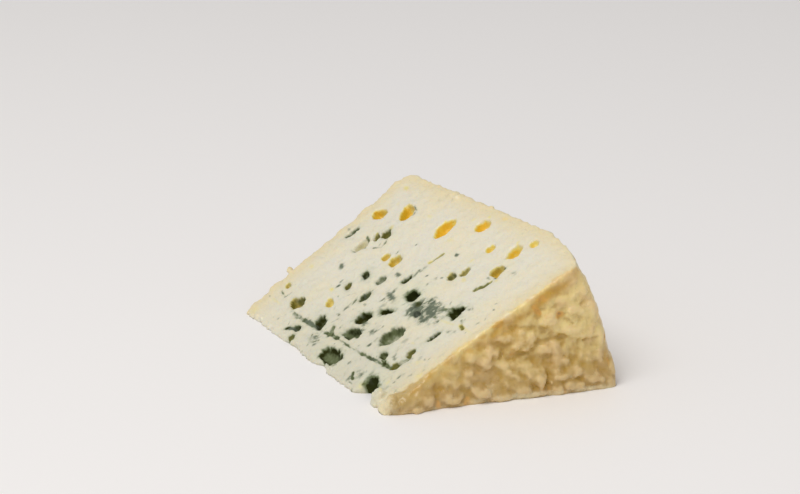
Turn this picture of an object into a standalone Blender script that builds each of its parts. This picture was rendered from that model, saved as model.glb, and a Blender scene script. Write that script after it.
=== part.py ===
"""A wedge of blue cheese, cut from a drum-shaped wheel and lying on one of its two cut faces.

Two cuts through the wheel meet at the wedge's tip line. The tip line lies on the ground along +Y, +X
points from it to the wheel's curved rim, and +Z is up, so the second cut face slopes up towards +X. The two
ends are the wheel's flat rinds. Lengths are metres, and the origin is on the ground under the middle of the
wedge.
"""

import math
import random

import bmesh
import bpy
from mathutils import Matrix, Vector, noise

MM = 0.001
NAME = "blue_cheese_wedge"

# The slice of the wheel.
WEDGE_ANGLE = math.radians(32.6)
# Corners of a cut face: distance from the tip line, place along it, and how far the corner is rounded.
SECTION_CORNERS = (
    (0 * MM, 0 * MM, 0 * MM),
    (0 * MM, 115.8 * MM, 4 * MM),
    (81 * MM, 119.8 * MM, 7 * MM),
    (88 * MM, 13 * MM, 12 * MM),
    (81 * MM, -7.2 * MM, 4 * MM),
    (30 * MM, -0.5 * MM, 12 * MM),
)
CORNER_STEPS = 6
SLICE_STEPS = 12
RIM = SECTION_CORNERS[3][0]

# The soft paste sags at the near end: the foot of the rim spreads by a share, and the rind by a length.
RIM_SPREAD = 0.03
RIM_SPREAD_FROM = 0.5
RIM_SPREAD_FULL = 0.9
NEAR_SAG = 4 * MM
SAG_HEIGHT = 16 * MM
SAG_FROM = -0.1
SAG_FULL = 0.15
NEAR_END_FROM = -10 * MM
NEAR_END = 30 * MM

# The crumbly tip line: its general wear, and bites given by place along it, half width and depth.
TIP_WEAR = 0.7 * MM
TIP_WEAR_GRAIN = 5 * MM
BITE_FLOOR = 0.35
TIP_BITES = (
    (5.6 * MM, 2.2 * MM, 1.4 * MM),
    (16.4 * MM, 6.8 * MM, 6.3 * MM),
    (48.6 * MM, 5.5 * MM, 2.4 * MM),
    (73.0 * MM, 8.0 * MM, 1.3 * MM),
)

# The moist rind, of curds pressed long on a slant, calmer beside the cut faces and at one spot of the near
# rind.
CURD = 5.6 * MM
CURD_RELIEF = 2.1 * MM
CURD_CREASE = 0.6
CURD_SLANT = math.radians(-35)
CURD_STRETCH = 1.7
CURD_WARP = 0.75
CURD_WARP_GRAIN = 1.3
CURD_FRAY = 0.2
CURD_FRAY_GRAIN = 0.45
CURD_SCATTER = 1.7
CURD_STAND = 0.85
CURD_LEVEL = 0.5
RIND_SWELL = 24 * MM
RIND_SWELL_DEPTH = 0.8 * MM
ROUGH_FROM = -0.35
ROUGH_FULL = 0.3
LEAST_ROUGH = 0.45
TRIM_DEPTH = 5 * MM
LEAST_TRIMMED = 0.35
CALM_SPOT = Vector((74 * MM, -6 * MM, 28 * MM))
CALM_RADIUS = 22 * MM
CALM_SHARE = 0.7
RIND_FROM = 0.25
RIND_FULL = 0.75

# Flakes of curd on the near rind: place along its foot, height, width, tallness, turn, and how far they
# stand, in millimetres and degrees. The curds behind them are damped by a share.
FLAKES = (
    (52.5, 8.8, 14.5, 6.4, -38, 1.7),
    (46.0, 9.8, 13.5, 4.4, -38, 1.1),
    (47.5, 4.6, 13.0, 4.4, -25, 1.0),
    (40.0, 16.6, 6.4, 5.0, -20, 1.1),
    (37.0, 13.2, 7.0, 4.4, -35, 1.0),
    (33.0, 15.6, 6.0, 5.0, -10, 0.9),
    (42.5, 12.6, 6.6, 4.0, -30, 0.9),
    (34.5, 4.2, 9.0, 4.2, -25, 1.4),
    (30.4, 8.6, 4.6, 7.0, -25, 0.8),
    (25.0, 9.4, 9.0, 6.6, -15, 0.7),
    (24.8, 3.6, 8.4, 6.0, -5, 1.0),
    (15.6, 4.8, 7.0, 5.6, -20, 0.9),
    (9.6, 4.2, 6.4, 4.8, -15, 0.9),
    (12.0, 1.6, 7.0, 3.4, 0, 0.8),
    (17.5, 9.2, 7.0, 3.6, 25, 0.5),
    (50.5, 19.5, 11.0, 7.4, -20, 1.0),
    (44.0, 21.0, 7.4, 5.4, -10, 0.8),
    (58.8, 25.8, 7.0, 6.0, -35, 1.0),
    (58.0, 15.8, 9.0, 4.6, -10, 0.9),
    (63.5, 11.5, 7.6, 4.6, -30, 1.0),
    (62.0, 7.2, 6.6, 4.4, -35, 1.1),
    (67.5, 7.4, 7.0, 4.6, -30, 1.0),
    (67.0, 3.0, 7.6, 3.8, -15, 1.0),
    (73.5, 5.4, 7.6, 5.4, -25, 0.9),
    (74.0, 12.4, 9.0, 7.0, -20, 0.7),
    (70.0, 20.5, 12.0, 7.0, 5, 0.6),
    (64.0, 22.5, 7.0, 6.0, -20, 0.7),
    (66.5, 33.0, 11.0, 10.0, 30, 0.5),
    (74.0, 27.0, 8.0, 10.0, 60, 0.5),
    (54.0, 1.8, 8.6, 3.4, 0, 0.8),
    (41.5, 1.8, 9.4, 3.4, 0, 0.9),
    (61.2, 2.4, 3.6, 4.6, 10, 0.7),
)
FLAKE_RELIEF = 1.3
FLAKE_LEAN = 0.8
FLAKE_LEAN_LIMITS = (0.4, 1.5)
FLAKE_ROUNDNESS = 0.6
FLAKED_SHARE = 0.5
NEAR_FROM = 0.45
NEAR_FULL = 0.8

# The cut faces, a little wavy from the blade.
CUT_WAVE = 22 * MM
CUT_WAVE_DEPTH = 0.35 * MM

# Pockets in the upper cut face: place along the tip line, distance from it, width, height and turn.
CUT_FACE_POCKETS = (
    (68.5, 68.5, 7.5, 9.5, -15),
    (52.5, 76.5, 6.0, 6.0, 20),
    (25.5, 74.0, 5.0, 7.5, -20),
    (37.3, 70.5, 4.0, 4.0, 0),
    (21.0, 80.0, 4.0, 3.4, 0),
    (95.0, 66.5, 9.0, 6.0, 35),
    (107.8, 60.8, 7.0, 5.5, 0),
    (73.5, 48.6, 6.0, 5.5, 30),
    (79.6, 48.0, 3.6, 3.6, 0),
    (23.0, 64.8, 6.5, 5.0, 0),
    (80.0, 22.2, 5.5, 3.4, 25),
    (94.6, 15.6, 8.0, 5.5, 10),
    (109.2, 18.8, 3.6, 2.6, 20),
    (19.2, 44.3, 6.4, 6.0, 0),
    (45.8, 41.0, 6.4, 4.6, 10),
    (39.3, 39.4, 3.4, 3.0, 0),
    (35.3, 36.4, 4.4, 2.6, 10),
    (34.3, 25.0, 9.0, 10.0, 35),
    (56.2, 24.6, 7.0, 6.0, -30),
    (53.0, 17.6, 8.6, 5.4, -8),
    (49.2, 31.0, 5.4, 2.8, -25),
    (67.0, 31.2, 4.8, 4.4, 0),
    (69.0, 39.6, 4.6, 4.2, 0),
    (78.6, 38.2, 5.0, 2.8, 15),
    (57.3, 44.6, 2.6, 4.0, 0),
    (40.0, 54.8, 6.0, 3.4, 20),
    (36.3, 58.4, 3.4, 4.6, -25),
    (92.4, 55.4, 5.6, 4.0, 15),
    (95.3, 52.4, 5.4, 2.6, 35),
    (97.6, 46.8, 5.0, 6.6, 0),
    (109.9, 49.2, 2.8, 5.6, 0),
    (73.0, 14.4, 7.4, 4.6, 30),
    (80.8, 31.2, 4.4, 2.8, 35),
    (17.3, 23.6, 3.0, 4.4, 0),
    (17.6, 16.8, 4.2, 3.6, 0),
    (27.3, 17.6, 4.2, 2.8, 15),
    (50.0, 6.8, 12.0, 6.4, 0),
    (80.2, 7.8, 4.8, 2.8, 0),
    (77.4, 3.8, 3.4, 3.0, 0),
    (18.6, 7.6, 6.6, 5.0, 25),
    (16.3, 33.0, 2.4, 5.6, 5),
)
POCKET_DEPTH = 0.6
POCKET_DEEPEST = 4.2 * MM
POCKET_THROUGH = 0.65

# Pockets in the lower cut face, sown by a seeded rule and kept clear of the middle that it rests on.
UNDER_POCKETS = 16
UNDER_POCKET_SIZE = (3.5 * MM, 7.5 * MM)
UNDER_POCKET_STRETCH = (0.6, 1.0)
UNDER_MARGIN = 12 * MM
UNDER_CLEAR_SPOT = (42 * MM, 57 * MM)
UNDER_CLEAR_RADIUS = 14 * MM

# How uneven the mouths of all the pockets are, and the size of that unevenness as a share of the half width.
POCKET_RAGGEDNESS = 0.16
POCKET_GRAIN = 0.7

# How finely the solid is drawn. What lies within FLAT_WITHIN of the ground is pressed flat: it is first
# pushed a skirt's depth below the ground, and then cut off level with it.
GRAIN = 1.1 * MM
TRIANGLES = 6200
FLAT_WITHIN = 0.35 * MM
SKIRT = 1.0 * MM
SHARP_FROM = math.radians(40)

PASTE_COLOUR = (0.78, 0.72, 0.55, 1.0)
PASTE_ROUGHNESS = 0.45


def wander(place, size, seed):
    """Smooth noise between about -1 and 1, with bumps of the given size."""
    return noise.noise(place / size + Vector((7.3, 1.9, 4.1)) * seed)


def smooth_step(low, high, value):
    """Rise from 0 to 1 between low and high."""
    share = min(max((value - low) / (high - low), 0.0), 1.0)
    return share * share * (3.0 - 2.0 * share)


def object_from(name, mesh, collection):
    """Make the bmesh an object of the collection, and free the bmesh."""
    data = bpy.data.meshes.new(name)
    mesh.to_mesh(data)
    mesh.free()
    item = bpy.data.objects.new(name, data)
    collection.objects.link(item)
    return item


def applied(item):
    """Replace the object's mesh with the result of its modifiers."""
    graph = bpy.context.evaluated_depsgraph_get()
    finished = bpy.data.meshes.new_from_object(item.evaluated_get(graph))
    item.modifiers.clear()
    item.data = finished
    return item


def regrained(item):
    """Rebuild the surface from even faces."""
    remesh = item.modifiers.new("even_grain", "REMESH")
    remesh.mode = "VOXEL"
    remesh.voxel_size = GRAIN
    return applied(item)


def wheel_slice(collection):
    """Draw a cut face on the ground and spin it about the tip line, up to the second cut."""
    mesh = bmesh.new()
    corners = [mesh.verts.new((reach, along, 0.0)) for reach, along, _ in SECTION_CORNERS]
    mesh.faces.new(corners)
    for corner, (_, _, rounding) in zip(corners, SECTION_CORNERS):
        if rounding:
            bmesh.ops.bevel(
                mesh,
                geom=[corner],
                offset=rounding,
                segments=CORNER_STEPS,
                profile=0.5,
                affect="VERTICES",
                material=-1,
            )
    bmesh.ops.spin(
        mesh,
        geom=mesh.faces[:] + mesh.edges[:] + mesh.verts[:],
        axis=(0.0, -1.0, 0.0),
        cent=(0.0, 0.0, 0.0),
        angle=WEDGE_ANGLE,
        steps=SLICE_STEPS,
    )
    bmesh.ops.remove_doubles(mesh, verts=mesh.verts[:], dist=0.01 * MM)
    bmesh.ops.recalc_face_normals(mesh, faces=mesh.faces[:])
    return object_from(NAME, mesh, collection)


def sagged(item):
    """Spread the foot of the near end, as the soft paste does under its own weight."""
    height = RIM * math.sin(WEDGE_ANGLE)
    for vertex in item.data.vertices:
        place = vertex.co
        near = 1.0 - smooth_step(NEAR_END_FROM, NEAR_END, place.y)
        low = 1.0 - place.z / height
        outer = smooth_step(RIM_SPREAD_FROM * RIM, RIM_SPREAD_FULL * RIM, math.hypot(place.x, place.z))
        place.x *= 1.0 + RIM_SPREAD * near * low * outer
        foot = 1.0 - smooth_step(0.0, SAG_HEIGHT, place.z)
        place.y -= NEAR_SAG * near * foot * smooth_step(SAG_FROM * RIM, SAG_FULL * RIM, place.x)
    return item


def tip_limit(place):
    """How far from the tip line the crumbled edge starts, at this place along it."""
    grain = Vector((0.0, place.y, place.z))
    limit = TIP_WEAR * (1.0 + wander(grain, TIP_WEAR_GRAIN, 1))
    for along, half_width, depth in TIP_BITES:
        off = abs(place.y - along) / half_width
        limit += depth * (1.0 - smooth_step(BITE_FLOOR, 1.0, off))
    return limit


def curd_height(place):
    """How far the curds stand out: domes of uneven height, with creases between them."""
    slant = Vector((math.cos(CURD_SLANT), 0.0, math.sin(CURD_SLANT)))
    squeezed = place - (1.0 - 1.0 / CURD_STRETCH) * place.dot(slant) * slant
    warp = Vector([wander(squeezed, CURD_WARP_GRAIN * CURD, seed) for seed in (2, 3, 4)])
    fray = Vector([wander(squeezed, CURD_FRAY_GRAIN * CURD, seed) for seed in (13, 14, 15)])
    distances, middles = noise.voronoi(squeezed / CURD + CURD_WARP * warp + CURD_FRAY * fray)
    dome = smooth_step(0.0, CURD_CREASE, distances[1] - distances[0])
    stand = CURD_STAND + noise.noise(middles[0] * CURD_SCATTER)
    return CURD_RELIEF * (dome * stand - CURD_LEVEL)


def roughness_of_rind(place):
    """How strongly the curds stand out: less in calm stretches, by the upper cut, and at the calm spot."""
    stretch = smooth_step(ROUGH_FROM, ROUGH_FULL, wander(place, RIND_SWELL, 5))
    spot = (place - CALM_SPOT).length / CALM_RADIUS
    calm = 1.0 - CALM_SHARE * math.exp(-spot * spot)
    below_cut = place.x * math.sin(WEDGE_ANGLE) - place.z * math.cos(WEDGE_ANGLE)
    trimmed = LEAST_TRIMMED + (1.0 - LEAST_TRIMMED) * smooth_step(0.0, TRIM_DEPTH, below_cut)
    return (LEAST_ROUGH + (1.0 - LEAST_ROUGH) * stretch) * calm * trimmed


def flake_height(place):
    """How far the flakes of the near rind stand out: steep below, and blending in above."""
    height = 0.0
    for across, up, width, tall, turn, stand in FLAKES:
        east, north = place.x / MM - across, place.z / MM - up
        cos, sin = math.cos(math.radians(turn)), math.sin(math.radians(turn))
        wide = (east * cos + north * sin) / (width / 2)
        high = (north * cos - east * sin) / (tall / 2)
        inside = max(1.0 - wide * wide - high * high, 0.0)
        lean = min(max(1.0 - FLAKE_LEAN * north / tall, FLAKE_LEAN_LIMITS[0]), FLAKE_LEAN_LIMITS[1])
        height = max(height, stand * lean * inside**FLAKE_ROUNDNESS)
    return FLAKE_RELIEF * height * MM


def rind_height(place, near):
    """The rind's relief, where near says how squarely the surface faces the near end."""
    curds = curd_height(place) * roughness_of_rind(place)
    swell = RIND_SWELL_DEPTH * wander(place, RIND_SWELL, 6)
    return (1.0 - FLAKED_SHARE * near) * (curds + swell) + near * flake_height(place)


def weather(item):
    """Move the surface in and out along its normals, wear the tip away, and leave a skirt below ground."""
    mesh = bmesh.new()
    mesh.from_mesh(item.data)
    mesh.normal_update()
    moves = []
    for vertex in mesh.verts:
        place = vertex.co
        turn = math.atan2(place.z, place.x)
        across_cut = Vector((-math.sin(turn), 0.0, math.cos(turn)))
        rind = smooth_step(RIND_FROM, RIND_FULL, 1.0 - abs(vertex.normal.dot(across_cut)))
        near = smooth_step(NEAR_FROM, NEAR_FULL, -vertex.normal.y)
        wave = CUT_WAVE_DEPTH * wander(place, CUT_WAVE, 7)
        height = rind * rind_height(place, near) + (1.0 - rind) * wave
        moves.append(vertex.normal * height)
    for vertex, move in zip(mesh.verts, moves):
        resting = vertex.co.z < FLAT_WITHIN
        vertex.co += move
        vertex.co.x = max(vertex.co.x, tip_limit(vertex.co))
        if resting or vertex.co.z < 0.0:
            vertex.co.z = -SKIRT
    mesh.to_mesh(item.data)
    mesh.free()
    return item


def pocket(place, outward, along, width, height, turn, depth, collection):
    """One ragged hollow: a ball flattened to its mouth's width and height, sunk in the face."""
    mesh = bmesh.new()
    bmesh.ops.create_icosphere(mesh, subdivisions=2, radius=1.0)
    seed = len(collection.objects)
    for vertex in mesh.verts:
        vertex.co *= 1.0 + POCKET_RAGGEDNESS * wander(vertex.co, POCKET_GRAIN, seed)
    up_face = outward.cross(along)
    frame = Matrix((along, up_face, outward)).transposed().to_4x4()
    size = Matrix.Diagonal((width / 2, height / 2, depth, 1.0))
    mesh.transform(Matrix.Translation(place) @ frame @ Matrix.Rotation(turn, 4, "Z") @ size)
    cutter = object_from(f"pocket_{seed}", mesh, collection)
    cutter.hide_render = True
    cutter.display_type = "WIRE"


def upper_pockets(collection):
    """The pockets of the sloping cut face, where the veins opened."""
    outward = Vector((-math.sin(WEDGE_ANGLE), 0.0, math.cos(WEDGE_ANGLE)))
    uphill = Vector((math.cos(WEDGE_ANGLE), 0.0, math.sin(WEDGE_ANGLE)))
    along = Vector((0.0, -1.0, 0.0))
    for along_tip, reach, width, height, turn in CUT_FACE_POCKETS:
        place = uphill * reach * MM + Vector((0.0, along_tip * MM, 0.0))
        thickness = reach * MM * math.tan(WEDGE_ANGLE)
        depth = min(POCKET_DEPTH * max(width, height) * MM, POCKET_DEEPEST, POCKET_THROUGH * thickness)
        pocket(place, outward, along, width * MM, height * MM, math.radians(-turn), depth, collection)


def under_pockets(collection):
    """The like pockets of the face that the wedge lies on."""
    draw = random.Random(5)
    far_end = SECTION_CORNERS[1][1]
    made = 0
    while made < UNDER_POCKETS:
        reach = draw.uniform(UNDER_MARGIN, RIM - UNDER_MARGIN)
        along_tip = draw.uniform(UNDER_MARGIN, far_end - UNDER_MARGIN)
        size = draw.uniform(*UNDER_POCKET_SIZE)
        stretch = draw.uniform(*UNDER_POCKET_STRETCH)
        turn = draw.uniform(0.0, math.pi)
        if math.hypot(reach - UNDER_CLEAR_SPOT[0], along_tip - UNDER_CLEAR_SPOT[1]) < UNDER_CLEAR_RADIUS:
            continue
        place = Vector((reach, along_tip, 0.0))
        down = Vector((0.0, 0.0, -1.0))
        depth = POCKET_DEPTH * size
        pocket(place, down, Vector((0.0, 1.0, 0.0)), size, size * stretch, turn, depth, collection)
        made += 1


def opened(item, cutters):
    """Cut the pockets out of the solid."""
    cut = item.modifiers.new("pockets", "BOOLEAN")
    cut.operation = "DIFFERENCE"
    cut.operand_type = "COLLECTION"
    cut.collection = cutters
    cut.solver = "EXACT"
    applied(item)
    for cutter in list(cutters.objects):
        bpy.data.objects.remove(cutter)
    return item


def thinned(item):
    """Keep the triangles where the surface bends."""
    item.data.calc_loop_triangles()
    thin = item.modifiers.new("thin", "DECIMATE")
    thin.ratio = TRIANGLES / len(item.data.loop_triangles)
    thin.use_collapse_triangulate = True
    return applied(item)


def based(item):
    """Cut the skirt off level with the ground, and close the flat base with one face."""
    mesh = bmesh.new()
    mesh.from_mesh(item.data)
    cut = bmesh.ops.bisect_plane(
        mesh,
        geom=mesh.faces[:] + mesh.edges[:] + mesh.verts[:],
        plane_co=(0.0, 0.0, 0.0),
        plane_no=(0.0, 0.0, 1.0),
        clear_inner=True,
    )
    foot = [part for part in cut["geom_cut"] if isinstance(part, bmesh.types.BMEdge)]
    bmesh.ops.contextual_create(mesh, geom=foot)
    mesh.to_mesh(item.data)
    mesh.free()
    return item


def centred(item):
    """Move the mesh so that the origin is under the middle of its footprint."""
    low = Vector([min(vertex.co[i] for vertex in item.data.vertices) for i in range(3)])
    high = Vector([max(vertex.co[i] for vertex in item.data.vertices) for i in range(3)])
    middle = (low + high) / 2
    item.data.transform(Matrix.Translation((-middle.x, -middle.y, -low.z)))
    return item


def paste_material():
    """The ivory paste."""
    material = bpy.data.materials.new("paste")
    material.use_nodes = True
    shader = material.node_tree.nodes["Principled BSDF"]
    shader.inputs["Base Color"].default_value = PASTE_COLOUR
    shader.inputs["Roughness"].default_value = PASTE_ROUGHNESS
    shader.inputs["Metallic"].default_value = 0.0
    return material


def main():
    for item in list(bpy.data.objects):
        bpy.data.objects.remove(item)
    cheese = bpy.data.collections.new(NAME)
    cutters = bpy.data.collections.new("cutters")
    bpy.context.scene.collection.children.link(cheese)
    bpy.context.scene.collection.children.link(cutters)
    wedge = regrained(weather(sagged(regrained(wheel_slice(cheese)))))
    based(thinned(wedge))
    upper_pockets(cutters)
    under_pockets(cutters)
    opened(wedge, cutters)
    centred(wedge)
    wedge.data.shade_smooth()
    wedge.data.set_sharp_from_angle(angle=SHARP_FROM)
    wedge.data.materials.clear()
    wedge.data.materials.append(paste_material())


main()
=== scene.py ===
"""The looks of a wedge of blue cheese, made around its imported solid.

The wedge's own frame is used while it is shaped: its tip line runs along +Y from the near end, +X points
from that line to the wheel's curved rim, and +Z is up. A place on a cut face is "along" the tip line and at
its "reach" from it.
"""

import math
import random

import bmesh
import bpy
import numpy as np
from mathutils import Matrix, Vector, noise


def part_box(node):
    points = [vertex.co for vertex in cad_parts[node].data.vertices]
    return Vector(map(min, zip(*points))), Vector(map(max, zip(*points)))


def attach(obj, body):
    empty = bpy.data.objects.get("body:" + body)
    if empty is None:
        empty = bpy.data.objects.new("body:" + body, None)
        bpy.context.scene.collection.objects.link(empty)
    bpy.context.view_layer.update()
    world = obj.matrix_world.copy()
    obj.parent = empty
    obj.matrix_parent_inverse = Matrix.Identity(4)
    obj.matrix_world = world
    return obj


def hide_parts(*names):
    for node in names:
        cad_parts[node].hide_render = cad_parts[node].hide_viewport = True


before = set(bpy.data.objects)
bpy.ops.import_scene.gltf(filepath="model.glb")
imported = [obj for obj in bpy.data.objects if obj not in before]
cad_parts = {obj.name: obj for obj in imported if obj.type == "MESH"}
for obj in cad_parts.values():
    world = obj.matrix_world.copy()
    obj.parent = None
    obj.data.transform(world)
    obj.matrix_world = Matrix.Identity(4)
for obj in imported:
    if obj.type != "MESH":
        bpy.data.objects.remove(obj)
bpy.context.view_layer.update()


# ---- The slice -------------------------------
# The wedge is one piece of soft, moist blue cheese. Two knife cuts through a drum-shaped wheel meet at the
# tip line. A cut face is drawn on the ground with its corners worn round, and spun about that line up to
# the second cut.

MM = 0.001
WEDGE_ANGLE = math.radians(32.6)
# Corners of a cut face: reach, place along, and how far the corner is rounded.
SECTION_CORNERS = (
    (0 * MM, 0 * MM, 0 * MM),
    (0 * MM, 115.8 * MM, 4 * MM),
    (81 * MM, 119.8 * MM, 7 * MM),
    (88 * MM, 13 * MM, 12 * MM),
    (81 * MM, -7.2 * MM, 4 * MM),
    (30 * MM, -0.5 * MM, 12 * MM),
)
CORNER_STEPS = 6
SLICE_STEPS = 24
RIM = SECTION_CORNERS[3][0]
WELD = 0.01 * MM
GRAIN = 0.53 * MM
EDGE_WORN = 10


def object_of(mesh, name):
    """Put a finished mesh in the scene as an object."""
    data = bpy.data.meshes.new(name)
    mesh.to_mesh(data)
    mesh.free()
    item = bpy.data.objects.new(name, data)
    bpy.context.scene.collection.objects.link(item)
    return item


def applied(item):
    """Replace the object's mesh with the result of its modifiers."""
    graph = bpy.context.evaluated_depsgraph_get()
    finished = bpy.data.meshes.new_from_object(item.evaluated_get(graph))
    item.modifiers.clear()
    item.data = finished
    return item


def regrained(item, size):
    """Rebuild the surface from even faces, which joins what overlaps."""
    remesh = item.modifiers.new("even_grain", "REMESH")
    remesh.mode = "VOXEL"
    remesh.voxel_size = size
    return applied(item)


def softened(item, passes):
    """Round what is sharp, and even out the steps that a regrain leaves."""
    smooth = item.modifiers.new("softened", "SMOOTH")
    smooth.iterations = passes
    return applied(item)


def wheel_slice():
    """The plain slice, before the paste sags and crumbles."""
    mesh = bmesh.new()
    corners = [mesh.verts.new((reach, along, 0.0)) for reach, along, _ in SECTION_CORNERS]
    mesh.faces.new(corners)
    for corner, (_, _, rounding) in zip(corners, SECTION_CORNERS):
        if rounding:
            bmesh.ops.bevel(
                mesh,
                geom=[corner],
                offset=rounding,
                segments=CORNER_STEPS,
                profile=0.5,
                affect="VERTICES",
                material=-1,
            )
    bmesh.ops.spin(
        mesh,
        geom=mesh.faces[:] + mesh.edges[:] + mesh.verts[:],
        axis=(0.0, -1.0, 0.0),
        cent=(0.0, 0.0, 0.0),
        angle=WEDGE_ANGLE,
        steps=SLICE_STEPS,
    )
    bmesh.ops.remove_doubles(mesh, verts=mesh.verts[:], dist=WELD)
    bmesh.ops.recalc_face_normals(mesh, faces=mesh.faces[:])
    return object_of(mesh, "blue_cheese")


cheese = softened(regrained(wheel_slice(), GRAIN), EDGE_WORN)


# ---- The sag and the rind --------------------
# The paste is soft enough to spread at its foot. The rind is no crust but a moist skin of curds, pressed
# long on a slant. Warped Voronoi cells give the curds and the creases between them, over slower swells and
# a calm upper end.

RIM_SPREAD = 0.03
SPREAD_REACH = (0.5 * RIM, 0.9 * RIM)
NEAR_SAG = 4 * MM
SAG_HEIGHT = 16 * MM
SAG_REACH = (-0.1 * RIM, 0.15 * RIM)
NEAR_END = 30 * MM
RIND_SLANT = math.radians(-35)
RIND_STRETCH = 1.7
RIND_WARP = 0.75
WARP_GRAIN = 1.3
RIND_FRAY = 0.2
FRAY_GRAIN = 0.45
RIND_SWELL = 24 * MM
RIND_SWELL_DEPTH = 0.8 * MM
ROUGH_STRETCH = (-0.35, 0.3)
LEAST_ROUGH = 0.45
CALM_SPOT = (74 * MM, -6 * MM, 28 * MM)
CALM_RADIUS = 22 * MM
CALM_SHARE = 0.7
# Each layer of curds: size, how far they stand out, and how wide the creases between them are.
CURDS = (5.6 * MM, 2.1 * MM, 0.6)
CURDLETS = (2.4 * MM, 0.45 * MM, 0.8)
CURD_STAND = 0.85
CURD_SCATTER = 1.7
TRIM_DEPTH = 5 * MM
LEAST_TRIMMED = 0.35
RIND_TURN = (0.25, 0.75)
SQUARE_ON = (0.45, 0.8)
FLAKED_SHARE = 0.6
CUT_WAVE = 22 * MM
CUT_WAVE_DEPTH = 0.35 * MM
PASTE_LUMP = 4.5 * MM
PASTE_LUMP_DEPTH = 0.28 * MM
FLAT_WITHIN = 0.35 * MM
# How far apart two seeds of the noise are, in bumps.
SEED_STEP = np.array((7.3, 1.9, 4.1))


def smooth_step(low, high, value):
    """Rise from 0 to 1 between low and high."""
    share = np.clip((value - low) / (high - low), 0.0, 1.0)
    return share * share * (3.0 - 2.0 * share)


def wander(places, size, seed):
    """Smooth noise between about -1 and 1 at each place, with bumps of the given size."""
    return np.array([noise.noise(place) for place in (places / size + SEED_STEP * seed).tolist()])


def pressed_curds(places, layer):
    """How far the curds stand out: domes of uneven height, with creases between them."""
    size, relief, crease = layer
    slant = np.array((math.cos(RIND_SLANT), 0.0, math.sin(RIND_SLANT)))
    squeezed = places - (1.0 - 1.0 / RIND_STRETCH) * (places @ slant)[:, None] * slant
    warp = np.stack([wander(squeezed, WARP_GRAIN * size, seed) for seed in (2, 3, 4)], axis=1)
    fray = np.stack([wander(squeezed, FRAY_GRAIN * size, seed) for seed in (13, 14, 15)], axis=1)
    warped = squeezed / size + RIND_WARP * warp + RIND_FRAY * fray
    cells = [noise.voronoi(place) for place in warped.tolist()]
    dome = smooth_step(0.0, crease, np.array([apart[1] - apart[0] for apart, _ in cells]))
    stand = np.array([noise.noise(middle[0] * CURD_SCATTER) for _, middle in cells])
    return relief * (dome * (CURD_STAND + stand) - 0.5)


def points_of(item, what="co"):
    """The object's vertex places, or its vertex normals, as an array."""
    flat = np.empty(3 * len(item.data.vertices))
    item.data.vertices.foreach_get(what, flat)
    return flat.reshape(-1, 3)


def sagged(places):
    """Spread the foot of the near end, as the soft paste does under its own weight."""
    x, y, z = places.T
    near = 1.0 - smooth_step(-NEAR_END / 3, NEAR_END, y)
    low = 1.0 - z / (RIM * math.sin(WEDGE_ANGLE))
    outer = smooth_step(*SPREAD_REACH, np.hypot(x, z))
    x = x * (1.0 + RIM_SPREAD * near * low * outer)
    foot = 1.0 - smooth_step(0.0, SAG_HEIGHT, z)
    y = y - NEAR_SAG * near * foot * smooth_step(*SAG_REACH, x)
    return np.stack([x, y, z], axis=1)


def roughness_of_rind(places):
    """How strongly the curds stand out: less in calm stretches, and least at the calm spot."""
    stretch = smooth_step(*ROUGH_STRETCH, wander(places, RIND_SWELL, 5))
    spot = np.linalg.norm(places - np.array(CALM_SPOT), axis=1) / CALM_RADIUS
    under_cut = places[:, 0] * math.sin(WEDGE_ANGLE) - places[:, 2] * math.cos(WEDGE_ANGLE)
    trimmed = smooth_step(0.0, TRIM_DEPTH, under_cut)
    rough = LEAST_ROUGH + (1.0 - LEAST_ROUGH) * stretch
    calmed = 1.0 - CALM_SHARE * np.exp(-spot * spot)
    return rough * calmed * (LEAST_TRIMMED + (1.0 - LEAST_TRIMMED) * trimmed)


def rind_height(places):
    """Lumps like pressed curds, with creases between them, on a slow swell."""
    curds = pressed_curds(places, CURDS) + pressed_curds(places, CURDLETS)
    return curds * roughness_of_rind(places) + RIND_SWELL_DEPTH * wander(places, RIND_SWELL, 6)


shape = sagged(points_of(cheese))
facing = points_of(cheese, "normal")
turn = np.arctan2(shape[:, 2], shape[:, 0])
across_cut = facing[:, 2] * np.cos(turn) - facing[:, 0] * np.sin(turn)
rind = smooth_step(*RIND_TURN, 1.0 - np.abs(across_cut))
relief = CUT_WAVE_DEPTH * wander(shape, CUT_WAVE, 7) + PASTE_LUMP_DEPTH * wander(shape, PASTE_LUMP, 8)
skin = rind > 0.0
flat_on = np.maximum(np.abs(facing[skin, 1]), facing[skin, 0])
flaked = 1.0 - FLAKED_SHARE * smooth_step(*SQUARE_ON, flat_on)
relief[skin] = (1.0 - rind[skin]) * relief[skin] + rind[skin] * flaked * rind_height(shape[skin])
resting = shape[:, 2] < FLAT_WITHIN


# ---- The hollows and the veins ---------------
# Gas and the curds' own gaps left hollows in the paste, and mould grew in them and along the needle holes.
# Each is a ragged-rimmed dent in its cut face, by its place, size and turn, with a tone that says what
# lines it.

# Tones: how honeyed, and how mouldy.
HONEY = (0.7, 0.0)
STRAW = (0.6, 0.12)
AMBER = (1.0, 0.0)
TAWNY = (1.0, 0.1)
OCHRE = (0.8, 0.17)
RUST = (0.9, 0.4)
BRONZE = (0.75, 0.25)
PALE = (0.2, 0.12)
LICHEN = (0.6, 0.3)
OLIVE = (0.6, 0.5)
GREY = (0.0, 0.4)
ASH = (0.0, 0.5)
SMOKE = (0.0, 0.55)
PEWTER = (0.0, 0.65)
LEAD = (0.0, 0.7)
MOSS = (0.04, 0.6)
FERN = (0.06, 0.5)
PINE = (0.5, 0.7)
DIM = (0.1, 0.75)
DARK = (0.05, 0.95)
# Near-black mould; in the hollow at the tip's bite it also stands in for painted shade.
BLACK_AND_SHADE = (0.0, 1.5)
BARE = (0.0, 0.0)

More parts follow.
